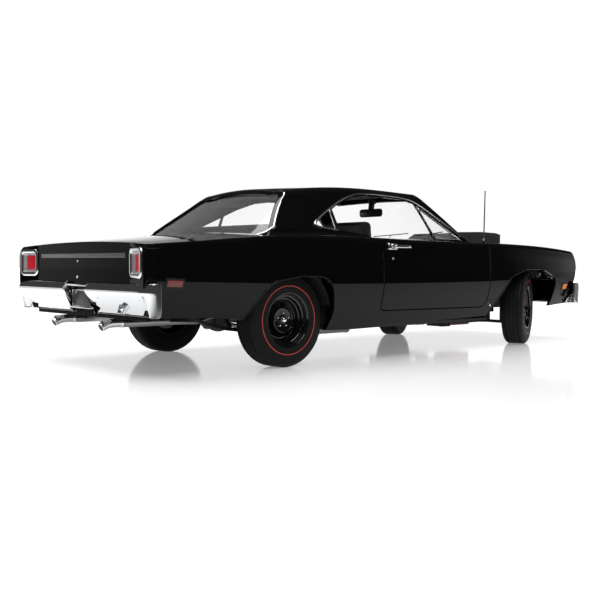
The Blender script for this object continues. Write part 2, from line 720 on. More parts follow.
# Tables of fittings, here and below, have in each row a finish, the function of a shape, and its sizes:
# for a brick its low corner, high corner, rounding and steps, and for a rod its start, end, two radii,
# sides and rounding.
CARD_FRONT_Y, CARD_REAR_Y = -41, 18
CARD_PANELS = ((40.5, 51.6), (24.5, 35.2))      # lower and upper edge
CRANK_Y = -8
STUD_Y, STUD_Z = -57.4, 21.6
HANDLE = (
    ("chrome", brick, (-7.2, -0.75, 0.9), (2.4, 0.6, 1.7), 0.32, 3),
    ("chrome", brick, (-6.9, -0.7, -0.4), (-5.4, 0.6, 1.4), 0.3, 3),
    ("chrome", brick, (1.0, -1.5, -0.4), (6.8, 1.4, 1.1), 0.5, 3),
    ("chrome", rod, (4.4, 0, 0.6), (4.4, 0, 1.9), 1.05, 0.95, 24, 0.2),
    ("black_trim", rod, (4.4, 0, 0.9), (4.4, 0, 1.3), 1.25, 1.25, 24, 0.1))
CARD_HANDLES = (
    ("chrome", rod, (43.4, CRANK_Y, 33.0), (45.2, CRANK_Y, 33.0), 0.8, 1.0, 16, 0.1),
    ("chrome", brick, (43.3, CRANK_Y - 0.4, 29.4), (43.8, CRANK_Y + 0.4, 33.0), 0.15),
    ("chrome", rod, (42.7, CRANK_Y, 29.6), (43.6, CRANK_Y, 29.6), 0.5, 0.4, 12, 0.1),
    ("chrome", brick, (43.6, -22, 43.2), (44.6, -16, 44.2), 0.25))


class CAR_OT_doors(bpy.types.Operator):
    """Door handles, key locks, inner trim, and the bare studs on the fenders"""
    bl_idname = "model_car.doors"
    bl_label = "Door fittings"

    def outside(self, name, side):
        tree = tree_of(f"door_{name}")
        handle = Piece(f"Door handle {name}", f"door_{name}", "chrome", "black_trim")
        seat = seat_on_side(tree, 14.0, 49.6, side)
        handle.fit(HANDLE, seat)
        lock = seat_on_side(tree, 17.7, 44.4, side)
        handle.add(rod((0, 0, -0.3), (0, 0, 0.45), 0.62, 0.5, 20, 0.1), lock, "chrome")
        handle.done()

    def inside(self, name, side):
        card = Piece(f"Door card {name}", f"door_{name}", "interior", "chrome")
        place = flip(side)
        card.add(brick((43.2, -30, 36.2), (45.2, 4, 38.8), 0.6), place)
        for low, top in CARD_PANELS:
            card.add(brick((44.5, CARD_FRONT_Y, low), (45.15, CARD_REAR_Y, top), 0.3), place)
        for z in (40.2, 35.6):
            bead = brick((44.4, CARD_FRONT_Y, z - 0.2), (45.2, CARD_REAR_Y, z + 0.2), 0.1)
            card.add(bead, place, "chrome")
        for y in range(-38, 17, 3):
            card.add(brick((44.3, y, 41.4), (44.7, y + 2.4, 50.6), 0.18), place)
        card.fit(CARD_HANDLES, place)
        card.done()

    def execute(self, context):
        for name, side in SIDES:
            self.outside(name, side)
            self.inside(name, side)
            stud = Piece(f"Fender stud {name}", "body", "chrome")
            seat = seat_on_side(tree_of(f"rocker_{name}"), STUD_Y, STUD_Z, side)
            stud.add(rod((0, 0, -0.2), (0, 0, 0.3), 0.62, 0.45, 16, 0.08), seat)
            stud.done()
        return {"FINISHED"}


BEZEL_T = 0.85              # half width of a tail lamp's bright rim
TIP_X = 19.0
TIP_PATH = ((133.0, 19.2), (137.6, 19.2), (139.6, 18.8), (141.6, 17.7))


class CAR_OT_tail(bpy.types.Operator):
    """Tail lamps, strip and locks on the tail, blank plate, and exhaust tips"""
    bl_idname = "model_car.tail"
    bl_label = "Tail"

    def lamps(self):
        bezels = Piece("Tail lamp bezels", "body", "chrome", "lamp_well")
        lenses = Piece("Tail lamp lenses", "body", "red_lens")
        low, top, out = LAMP_LOW_Z, LAMP_TOP_Z, -FORWARD
        for _, side in SIDES:
            place = flip(side) @ turned((LAMP_IN_X, TAIL_Y, 0), LAMP_SPLAY, "Z")
            ring = round_rect(BEZEL_T, LAMP_W - BEZEL_T, low + BEZEL_T, top - BEZEL_T, 1.7)
            bezels.add(swept(ring, out, BEZEL_T, 0.6, 10, True), place)
            mouth = round_rect(1.3, LAMP_W - 1.3, low + 1.3, top - 1.3, 1.3, -0.05)
            throat = round_rect(2.9, LAMP_W - 2.9, low + 2.7, top - 2.7, 0.5, -1.4)
            bezels.add(funnel(mouth, throat), place, "lamp_well")
            bezels.add(swept(throat, out, 0.3, 0.35, 8, True), place)
            lenses.add(brick((2.8, -1.55, low + 2.6), (LAMP_W - 2.8, -0.95, top - 2.6), 0.25), place)
            for k in range(6):
                z = low + 3.2 + k * 0.95
                lenses.add(brick((3.2, -1.1, z), (LAMP_W - 3.2, -0.85, z + 0.5), 0.1), place)
        bezels.done("tail_lamp_bezels")
        lenses.done("tail_lamp_lenses")

    def fittings(self):
        strip = Piece("Tail strip", "body", "satin_strip", "chrome", slot="chrome")
        strip.add(brick((-33.6, TAIL_Y - 0.3, 44.0), (33.6, TAIL_Y + 0.28, 45.7), 0.2, 3))
        for x, z, r in ((2.2, 42.7, 0.45), (2.7, 36.4, 0.6)):
            strip.add(rod((x, TAIL_Y - 0.2, z), (x, TAIL_Y + 0.35, z), r, r * 0.8, 16, 0.08), None, "chrome")
        strip.done()
        plate = Piece("Blank plate", "body", "plate_blank", "chrome")
        plate.add(brick((-7.9, 138.66, 25.3), (7.9, 139.0, 31.3), 0.12))
        rim = round_rect(-8.05, 8.05, 25.2, 31.4, 0.6, 139.0)
        plate.add(swept(rim, -FORWARD, 0.28, 0.25, 8, True), None, "chrome")
        for x in (-5.2, 5.2):
            plate.add(rod((x, 138.9, 30.5), (x, 139.3, 30.5), 0.38, 0.3, 12, 0.06), None, "chrome")
        plate.done("licence_plate")

    def tips(self):
        tips = Piece("Exhaust tips", "body", "chrome", "inner_well", slot="bare_metal")
        for _, side in SIDES:
            path = [Vector((side * TIP_X, y, z)) for y, z in TIP_PATH]
            tips.add(pipe(eased(path), 1.7, 20), None, "chrome")
            along = (path[-1] - path[-2]).normalized()
            tips.add(rod(path[-1] - along * 0.1, path[-1] + along * 0.03, 1.4, 1.4, 20), None, "inner_well")
            half_collar = Vector((0, 0.4, 0))
            collar = rod(path[0] - half_collar, path[0] + half_collar, 1.95, 1.95, 20, 0.15)
            tips.add(collar, None, "chrome")
        tips.done()

    def execute(self, context):
        self.lamps()
        self.fittings()
        self.tips()
        return {"FINISHED"}


# bumper sections: how far in from the bumper's face, height
REAR_BLADE = ((5.9, 22.6), (6.2, 23.1), (0.6, 30.4), (0.15, 31.1), (0.0, 31.7), (0.15, 32.2), (1.5, 34.2),
              (2.0, 34.6), (2.4, 34.7))
FRONT_BLADE = ((8.6, 20.7), (8.8, 21.2), (1.1, 27.6), (0.25, 28.4), (0.0, 29.0), (0.3, 29.7), (1.9, 31.2),
               (2.9, 31.7), (4.4, 31.8))
BLADE_T = 0.9
FLAT_STEPS, CORNER_STEPS, END_STEPS = 16, 12, 5     # from the middle to the wrapped end
BLADE_END_TAPER = (1.0, 0.99, 0.97, 0.92, 0.8)      # share of the blade's height over its last steps
BUMPER_Y = 143.0            # both faces, from the middle
REAR_HALF_W, REAR_CORNER, REAR_END_Y = 52.8, 5.0, 136.6
FRONT_HALF_W, FRONT_CORNER, FRONT_BOW, FRONT_END_Y = 52.6, 4.0, 3.6, -131.6
GUARD_X = 22.0
PLATE_GAP_X = 8.8           # half the rear blade's opening for the plate
PLATE_WALL = ((138.4, 22.7), (139.8, 33.6), (141.6, 33.6), (142.9, 31.9), (142.7, 31.0), (137.2, 23.2))
BOLT_XS, BOLT_Y, BOLT_Z = (16.0, 45.6), 141.2, 28.7
BOLT_OUT = Vector((0, 0.79, -0.61))


class CAR_OT_bumpers(bpy.types.Operator):
    """Chromed bumpers: a blade with a rolled top, wrapped round the corners"""
    bl_idname = "model_car.bumpers"
    bl_label = "Bumpers"

    def blade(self, section, path, tapers):
        """Sections set along a plan path. Their slope fades out where the path turns to the side."""
        bm = bmesh.new()
        loop = list(section) + [(back + BLADE_T, z) for back, z in reversed(section)]
        rings = []
        for (place, out), taper in zip(path, tapers):
            square = out.y * out.y
            ring = []
            for i, (back, z) in enumerate(loop):
                thick = BLADE_T if i >= len(section) else 0.0
                back = (back - thick) * square + thick
                z = section[-1][1] - (section[-1][1] - z) * taper
                ring.append(bm.verts.new(place - out * back + Vector((0, 0, z))))
            rings.append(ring)
        count = len(loop)
        for a, b in zip(rings, rings[1:]):
            for i in range(count):
                bm.faces.new([a[i - 1], a[i], b[i], b[i - 1]])
        bm.faces.new(rings[0])
        bm.faces.new(rings[-1][::-1])
        return bm

    def route(self, facing, half_w, y, bow, corner, end_y):
        """Places and outward directions from the right end round to the left end."""
        half = []
        flat = half_w - corner
        turn_y = y - facing * (bow + corner)
        for k in range(FLAT_STEPS + 1):
            x = flat * k / FLAT_STEPS
            half.append((Vector((x, y - facing * bow * (x / flat) ** 2, 0)), Vector((0, facing, 0))))
        for k in range(1, CORNER_STEPS + 1):
            angle = math.pi / 2 * k / CORNER_STEPS
            out = Vector((math.sin(angle), facing * math.cos(angle), 0))
            half.append((Vector((flat, turn_y, 0)) + out * corner, out))
        for k in range(1, END_STEPS + 1):
            half.append((Vector((half_w, turn_y + (end_y - turn_y) * k / END_STEPS, 0)), Vector((1, 0, 0))))
        tapers = [1.0] * (len(half) - len(BLADE_END_TAPER)) + list(BLADE_END_TAPER)
        left = [(Vector((-p.x, p.y, 0)), Vector((-o.x, o.y, 0))) for p, o in half[1:]]
        return left[::-1] + half, tapers[1:][::-1] + tapers

    def rear(self):
        rear = Piece("Rear bumper", "body", "chrome")
        path, tapers = self.route(1, REAR_HALF_W, BUMPER_Y, 0.0, REAR_CORNER, REAR_END_Y)
        shape = self.blade(REAR_BLADE, path, tapers)
        for x in (-PLATE_GAP_X, PLATE_GAP_X):
            cut = shape.faces[:] + shape.edges[:] + shape.verts[:]
            bmesh.ops.bisect_plane(shape, geom=cut, plane_co=(x, 0, 0), plane_no=(1, 0, 0), dist=1e-4)
        gap = [f for f in shape.faces if abs(f.calc_center_median().x) < PLATE_GAP_X - 0.1]
        bmesh.ops.delete(shape, geom=gap, context="FACES")
        bmesh.ops.holes_fill(shape, edges=[e for e in shape.edges if e.is_boundary], sides=0)
        rear.add(shape)
        for side in (-1, 1):
            across = sorted((side * PLATE_GAP_X, side * (PLATE_GAP_X - 0.35)))
            rear.add(slab(PLATE_WALL, 0, *across, 0.1))
        rear.add(brick((-PLATE_GAP_X, 139.7, 33.0), (PLATE_GAP_X, 142.0, 33.9), 0.25))
        rear.add(brick((-PLATE_GAP_X, 137.0, 24.3), (PLATE_GAP_X, 140.4, 24.9), 0.15))
        for side in (-1, 1):
            for x in BOLT_XS:
                seat = Vector((side * x, BOLT_Y, BOLT_Z))
                rear.add(rod(seat - BOLT_OUT * 0.3, seat + BOLT_OUT * 0.15, 0.28, 0.2, 12, 0.05))
        rear.done("rear_bumper")

    def front(self):
        front = Piece("Front bumper", "body", "chrome")
        path, tapers = self.route(-1, FRONT_HALF_W, -BUMPER_Y, FRONT_BOW, FRONT_CORNER, FRONT_END_Y)
        front.add(self.blade(FRONT_BLADE, path, [taper ** 2.5 for taper in tapers]))
        y = FRONT_BOW * (GUARD_X / (FRONT_HALF_W - FRONT_CORNER)) ** 2 - BUMPER_Y
        for x in (-GUARD_X, GUARD_X):
            front.add(brick((x - 1.3, y, 22.4), (x + 1.3, y + 4.4, 31.9), 0.6, 3))
        front.done("front_bumper")

    def execute(self, context):
        self.rear()
        self.front()
        return {"FINISHED"}


GRILLE_HALF_W = 41.0
MESH_ROWS, MESH_Z, MESH_PITCH = 9, 33.9, 1.22
BAR_Z, BAR_SPAN = 34.2, 9.2         # the lowest bar, and from it to the highest
HEADLAMP_XS, HEADLAMP_Z = (24.6, 35.6), 38.8
# headlamp sections: how far out of the nose, radius
HEADLAMP_BOWL = ((0.5, 4.3), (1.0, 4.9), (0.6, 5.0), (-1.6, 4.9), (-2.4, 3.0), (-2.6, 0.0))
HEADLAMP_GLASS = ((0.6, 4.5), (1.0, 3.6), (1.35, 2.0), (1.45, 0.0))
# side lamps: label, y, z, width, height, panel, finish, slot, node
SIDE_LAMPS = (
    ("Front side lamps", -124.6, 30.0, 4.6, 2.9, "fender", "amber_lens", "amber_lens", "front_markers"),
    ("Rear side lamps", 130.2, 34.8, 6.2, 2.5, "quarter", "marker_red", "red_lens", "rear_markers"))
WIPERS = ((-6.0, -29.0), (22.0, -2.0))      # each from its root to its tip, in x
AERIAL_FOOT, AERIAL_TIP = Vector((-45.0, -59.0, 52.6)), Vector((-45.0, -59.75, 78.6))


class CAR_OT_front(bpy.types.Operator):
    """Grille, headlamps, side lamps, wipers and aerial"""
    bl_idname = "model_car.front"
    bl_label = "Front"

    def grille(self, bars):
        grille = Piece("Grille", "body", "black_trim", "chrome", "inner_well", slot="underbody")
        xs = [x * 2.0 for x in range(-20, 21)]

        def run(z, back, half_w, half_h, finish):
            points = [Vector((x, nose_y(x, back), z)) for x in xs]
            grille.add(swept(points, FORWARD, half_w, half_h), None, finish)

        for k in range(MESH_ROWS):
            run(MESH_Z + k * MESH_PITCH, 3.0, 0.62, 0.3, "inner_well")
        for k in range(bars):
            run(BAR_Z + k * BAR_SPAN / (bars - 1), 1.7, 0.22, 0.55, "black_trim")
        for z in (33.2, 44.4):
            run(z, 0.7, 0.35, 0.35, "chrome")
        for x in (-GRILLE_HALF_W, 0.0, GRILLE_HALF_W):
            y = nose_y(x, 0.9)
            grille.add(brick((x - 0.5, y - 0.4, 33.1), (x + 0.5, y + 1.6, 44.5), 0.2), None, "chrome")
        grille.done("grille")

    def lamps(self):
        lamps = Piece("Headlamps", "body", "lamp_glass", "chrome")
        for x in HEADLAMP_XS:
            for _, side in SIDES:
                place = turned((side * x, nose_y(x, 2.0), HEADLAMP_Z), -90, "Z")
                lamps.add(lathe(HEADLAMP_BOWL, 48), place, "chrome")
                lamps.add(lathe(HEADLAMP_GLASS, 48), place, "lamp_glass")
        lamps.done("headlamps")

    def markers(self):
        for label, y, z, wide, high, panel, finish, slot, node_name in SIDE_LAMPS:
            piece = Piece(label, "body", finish, "black_trim", slot=slot)
            for name, side in SIDES:
                seat = seat_on_side(tree_of(f"{panel}_{name}"), y, z, side)
                w, h = wide / 2, high / 2
                surround = brick((-w - 0.7, -h - 0.6, -0.5), (w + 0.7, h + 0.6, 0.28), 0.2)
                piece.add(surround, seat, "black_trim")
                piece.add(brick((-w, -h, 0.0), (w, h, 0.5), 0.22), seat, finish)
            piece.done(node_name)

    def wipers(self):
        wipers = Piece("Wipers", "body", "black_trim", "bare_metal", slot="bare_metal")
        tree = tree_of("windshield")
        for root_x, tip_x in WIPERS:
            line = straight((root_x, -120.0, 56.9), (tip_x, -120.0, 58.1), [k / 8 for k in range(9)])
            hits = [cast(tree, place, (0, 1, 0)) for place in line]
            hits = [h for h in hits if h]
            blade = [place + normal * 0.4 for place, normal in hits]
            wipers.add(swept(blade, [normal for _, normal in hits], 0.22, 0.3, 6), None, "black_trim")
            middle = blade[len(blade) // 2] + Vector((0, -0.3, 0.2))
            foot, lift = Vector((root_x, -61.6, 54.9)), Vector((0, 0, 0.9))
            arm = pipe([foot + lift, foot.lerp(middle, 0.5) + lift, middle], 0.2, 8)
            wipers.add(arm, None, "bare_metal")
            wipers.add(rod(foot, foot + Vector((0, 0, 1.3)), 0.6, 0.45, 14, 0.1), None, "bare_metal")
        wipers.done()

    def aerial(self):
        aerial = Piece("Aerial", "body", "chrome", "black_trim", "whip_steel")
        foot, tip = AERIAL_FOOT, AERIAL_TIP
        aerial.add(rod(foot, foot + Vector((0, 0, 1.3)), 0.95, 0.7, 20, 0.2), None, "black_trim")
        nut = rod(foot + Vector((0, 0, 1.2)), foot + Vector((0, -0.02, 2.4)), 0.5, 0.35, 16, 0.1)
        aerial.add(nut, None, "chrome")
        aerial.add(rod(foot, tip, 0.34, 0.27, 12), None, "whip_steel")
        aerial.add(rod(tip - Vector((0, 0, 0.5)), tip, 0.36, 0.3, 12, 0.05), None, "whip_steel")
        aerial.done("aerial")

    def execute(self, context):
        self.grille(context.scene.car_trim.grille_bars)
        self.lamps()
        self.markers()
        self.wipers()
        self.aerial()
        return {"FINISHED"}


# seat outlines, as (y, z)
FRONT_BACK = ((7.0, 22.0), (10.4, 60.0), (12.0, 61.2), (15.2, 61.2), (16.2, 60.0), (15.0, 22.0))
FRONT_BASE = ((-14.0, 17.6), (-15.0, 25.4), (-13.4, 26.4), (10.5, 24.6), (11.5, 17.6))
BENCH_BASE = ((31.0, 16.4), (30.0, 27.0), (31.5, 28.4), (49.0, 26.4), (49.4, 16.4))
BENCH_LOW_BACK = ((48.2, 26.0), (52.8, 47.0), (57.4, 47.0), (57.4, 26.2))
BENCH_TOP_BACK = ((51.8, 44.2), (53.4, 58.0), (54.6, 59.2), (56.6, 59.2), (57.5, 58.2), (57.5, 44.2))
SEAT_IN_X, SEAT_OUT_X = 8.5, 33.5
SEAT_BORDER = 2.0           # plain vinyl beside the pleats
BENCH_HALF_W, BENCH_TOP_HALF_W = 29.5, 37.4
BENCH_PLEATS, BENCH_PITCH = 21, 2.6
FRONT_STOPS = (0.0, 0.03, 0.5, 0.97, 1.0)   # shares of a pleat's length at which it is shaped
BENCH_STOPS = (0.0, 0.04, 0.5, 0.96, 1.0)
# headliner: rays fan out from a line along the cabin and find the roof
LINER_Y, LINER_HALF_L = 15.0, 34.0
LINER_SPREAD = math.radians(78)
LINER_FROM_Z, LINER_LOW_Z = 62.0, 66.0      # where the rays start, and the lowest roof they may find
LINER_GAP = 0.3             # from the roof to the cloth
RIB_PITCH, RIB_HALF_W, RIB_DEPTH = 9.5, 0.9, 0.35
DASH_FACE_Y, DIAL_Z = -41.9, 44.6
DIALS = ((12.4, 2.0), (17.0, 2.4), (23.0, 2.4), (27.8, 2.0))      # x, radius
WHEEL_RIM_R, WHEEL_LEAN = 7.6, 22           # the lean in degrees
WHEEL_HUB = (20, -30.5, 44.5)
DASH_PANELS = (
    ("black_trim", brick, (9.0, DASH_FACE_Y, 41.2), (31.0, -40.9, 47.6), 0.3),
    ("satin_strip", brick, (-3.5, DASH_FACE_Y, 41.0), (4.5, -41.1, 44.0), 0.2),
    ("satin_strip", brick, (-31.0, DASH_FACE_Y, 41.4), (-8.0, -41.2, 46.8), 0.3))
COLUMN = (
    ("interior", rod, (0, -1.0, 0), (0, 0.7, 0), 1.8, 1.3, 28, 0.2),
    ("chrome", rod, (0, 0.5, 0), (0, 0.9, 0), 0.9, 0.8, 24, 0.1),
    ("interior", rod, (0, -13.0, 0), (0, -0.8, 0), 0.95, 0.8, 20),
    ("chrome", rod, (-0.4, -3.0, 0), (-4.6, -2.2, 0.6), 0.2, 0.28, 8))
MIRROR_FITTINGS = (
    ("dial", brick, (-7.0, -23.9, 66.5), (7.0, -23.58, 69.4), 0.15, 2),
    ("interior", rod, (0, -24.3, 69.0), (0, -25.3, 75.6), 1.45, 1.6, 16),
    ("interior", rod, (0, -25.1, 72.8), (0, -25.5, 75.6), 2.1, 2.7, 20, 0.4))


class CAR_OT_cabin(bpy.types.Operator):
    """Seats, headliner, dashboard dials, steering wheel and mirror"""
    bl_idname = "model_car.cabin"
    bl_label = "Cabin"

    def front_seats(self, pleats):
        seats = Piece("Front seats", "body", "seat_vinyl", "chrome")
        pitch = (SEAT_OUT_X - SEAT_IN_X - 2 * SEAT_BORDER) / pleats
        for place in BOTH_SIDES:
            for outline in (FRONT_BACK, FRONT_BASE):
                seats.add(slab(outline, 0, SEAT_IN_X, SEAT_OUT_X, 1.1), place)
            seats.add(brick((11.5, -11, 16.2), (30.5, 9, 18.0), 0.3), place)
            seats.add(brick((8.3, 6.5, 22.4), (9.2, 15.6, 25.0), 0.4), place, "chrome")
            for k in range(pleats):
                x = SEAT_IN_X + SEAT_BORDER + pitch * (k + 0.5)
                run = straight((x, 7.4, 27.0), (x, 10.3, 57.0), FRONT_STOPS)
                seats.add(swept(run, FORWARD, pitch * 0.46, 0.7, 8), place)
                run = straight((x, -12.4, 26.0), (x, 4.6, 24.9), FRONT_STOPS)
                seats.add(swept(run, UPWARD, pitch * 0.46, 0.6, 8), place)
        seats.done("front_seats")

    def rear_seat(self):
        seat = Piece("Rear seat", "body", "seat_vinyl")
        for outline, half_w, soft in ((BENCH_BASE, BENCH_HALF_W, 0.9), (BENCH_LOW_BACK, BENCH_HALF_W, 0.8),
                                      (BENCH_TOP_BACK, BENCH_TOP_HALF_W, 0.7)):
            seat.add(slab(outline, 0, -half_w, half_w, soft))
        for k in range(BENCH_PLEATS):
            x = (k - (BENCH_PLEATS - 1) / 2) * BENCH_PITCH
            if abs(x) < 2.0:
                continue
            run = straight((x, 50.2, 30.0), (x, 53.8, 56.0), BENCH_STOPS)
            seat.add(swept(run, Vector((0, -1, 0.1)), 1.15, 0.9, 8))
            run = straight((x, 32.5, 28.2), (x, 46.5, 26.6), BENCH_STOPS)
            seat.add(swept(run, UPWARD, 1.15, 0.5, 8))
        seat.done("rear_seat")

    def headliner(self):
        bm = bmesh.new()
        bmesh.ops.create_grid(bm, x_segments=48, y_segments=96, size=1.0)
        tree, missed = tree_of("roof"), []
        for vert in bm.verts:
            y = LINER_Y + vert.co.y * LINER_HALF_L
            lean = vert.co.x * LINER_SPREAD
            ray = Vector((math.sin(lean), 0, math.cos(lean)))
            found = cast(tree, (0, y, LINER_FROM_Z), ray)
            if not found or found[0].z < LINER_LOW_Z:
                missed.append(vert)
                continue
            rib = max(0.0, 1.0 - abs(y % RIB_PITCH - RIB_PITCH / 2) / RIB_HALF_W) * RIB_DEPTH
            vert.co = found[0] - ray * (LINER_GAP + rib)
        bmesh.ops.delete(bm, geom=missed, context="VERTS")
        bmesh.ops.solidify(bm, geom=bm.faces[:], thickness=0.15)
        Piece("Headliner", "body", "headliner", slot="interior").add(bm).done()

    def dashboard(self):
        dash = Piece("Dashboard fittings", "body", "black_trim", "chrome", "dial", "satin_strip",
                     slot="interior")
        dash.fit(DASH_PANELS)
        for x, r in DIALS:
            dash.add(rod((x, -41.2, DIAL_Z), (x, -40.6, DIAL_Z), r, r, 32, 0.1), None, "chrome")
            dash.add(rod((x, -41.0, DIAL_Z), (x, -40.55, DIAL_Z), r - 0.35, r - 0.35, 32), None, "dial")
            hand = brick((x - 0.08, -40.6, DIAL_Z), (x + 0.08, -40.5, DIAL_Z + r * 0.7))
            dash.add(hand, None, "satin_strip")
        for x in (-2.2, 0.5, 3.2):
            dash.add(rod((x, -41.3, 42.4), (x, -40.4, 42.4), 0.45, 0.4, 12, 0.08), None, "chrome")
        dash.add(rod((2.0, -30.0, 22.0), (2.0, -27.0, 33.0), 0.45, 0.35, 12), None, "chrome")
        dash.add(rod((2.0, -27.1, 32.6), (2.0, -26.6, 34.6), 0.9, 0.9, 16, 0.35), None, "black_trim")
        for x in (16.0, 20.5, 26.0):
            dash.add(brick((x - 1.2, -55.4, 20.0), (x + 1.2, -54.8, 23.4), 0.2), None, "black_trim")
        dash.done()

    def steering_wheel(self):
        piece = Piece("Steering wheel", "body", "interior", "chrome")
        place = turned(WHEEL_HUB, WHEEL_LEAN, "X")
        angles = [math.tau * k / 64 for k in range(64)]
        rim = [Vector((math.cos(a), 0, math.sin(a))) * WHEEL_RIM_R for a in angles]
        piece.add(swept(rim, -FORWARD, 0.52, 0.55, 10, True), place)
        for angle in (90, 210, 330):
            spoke = brick((-0.5, -0.2, 1.0), (0.5, 0.25, 7.4), 0.12)
            piece.add(spoke, place @ turned((0, 0, 0), angle, "Y"), "chrome")
        piece.fit(COLUMN, place)
        piece.done("steering_wheel")

    def mirror(self):
        mirror = Piece("Inside mirror", "body", "interior", "dial")
        shell = brick((-7.7, -24.9, 65.9), (7.7, -23.7, 70.0))
        for offset, through in ((1.5, True), (0.3, False)):
            edges = [e for e in shell.edges if through == (abs(e.verts[0].co.y - e.verts[1].co.y) > 1.0)]
            rounded(shell, edges, offset, 5)
        mirror.add(shell)
        mirror.fit(MIRROR_FITTINGS)
        mirror.done("inside_mirror")

    def execute(self, context):
        self.front_seats(context.scene.car_trim.pleats)
        self.rear_seat()
        self.headliner()
        self.dashboard()
        self.steering_wheel()
        self.mirror()
        return {"FINISHED"}


PLUG_WIRE_HUB = (8.0, -77.5, 42.2)
CLEANER_Y = -92.0
SUMP = ((-99, 8.0), (-98, 17.4), (-82, 17.4), (-82, 9.6), (-84, 8.0))       # y, z
# pulleys: x, z, radius, front face
PULLEYS = (
    (0, 24.0, 3.6, -115.4), (0, 34.0, 2.6, -115.6), (9.6, 35.6, 1.9, -115.2), (-9.4, 31.0, 2.2, -115.0))
BELT_Y = -114.6
BELT = ((3.4, 23.2), (11.2, 34.8), (9.6, 37.6), (0.0, 36.7), (-10.6, 32.9), (-11.2, 29.8), (-3.2, 22.2),
        (0, 20.4))
# air cleaner section: height, radius
AIR_DRUM = ((40.0, 0.0), (40.0, 2.6), (42.8, 2.7), (43.1, 7.2), (43.4, 7.6), (45.9, 7.6), (46.2, 7.85),
            (46.7, 7.8), (47.0, 7.0), (46.9, 2.0), (47.05, 0.0))
TOP_HOSE = ((-6.0, -111, 40.0), (-6.4, -116.5, 42.6), (-8.0, -122.0, 43.4), (-9.0, -127.2, 43.6))
HEATER_HOSE = ((-17.8, -62.4, 40.6), (-15.5, -70.0, 42.6), (-9.0, -76.0, 43.4), (-5.2, -82.0, 41.0))
FAN_HUB, FAN_BLADES, FAN_PITCH = (0, -118.2, 34.0), 6, 28      # the pitch in degrees
BLOCK = (
    ("engine_paint", brick, (-10.2, -112.6, 17.2), (10.2, -73.4, 30.4), 0.8),
    ("engine_paint", brick, (-4.2, -111, 29.5), (4.2, -76, 41.2), 0.8),
    ("engine_paint", slab, SUMP, 0, -6, 6, 0.5),
    ("bare_metal", brick, (-4.1, -73.6, 14.8), (4.1, -61.0, 22.4), 0.8))
BLOCK_FITTINGS = (
    ("bare_metal", brick, (7.4, -113.6, 32.8), (11.8, -108.0, 38.4), 1.2, 3),
    ("black_trim", rod, (0, -77.6, 40.6), (0, -77.6, 43.6), 1.9, 1.7, 24, 0.4),
    ("bare_metal", rod, (-12.6, -104, 24.0), (-15.6, -104, 22.4), 1.6, 1.6, 20, 0.3))
RADIATOR = (
    ("bare_metal", rod, (0, -119.0, 34.0), (0, -114.8, 34.0), 1.4, 1.4, 20, 0.2),
    ("black_trim", brick, (-19.4, -130.6, 45.0), (19.4, -126.8, 47.0), 0.6, 3),
    ("chrome", rod, (10, -128.7, 46.8), (10, -128.7, 48.0), 1.3, 1.2, 24, 0.2))
BRAKE_FITTINGS = (
    ("black_trim", rod, (20.5, -60.4, 40.0), (20.5, -64.0, 40.0), 4.0, 3.2, 32, 0.5),
    ("bare_metal", brick, (19.0, -69.5, 38.8), (22.0, -63.6, 42.2), 0.5),
    ("black_trim", rod, (-20.0, -60.3, 42.0), (-20.0, -63.2, 42.0), 3.0, 2.8, 28, 0.4))


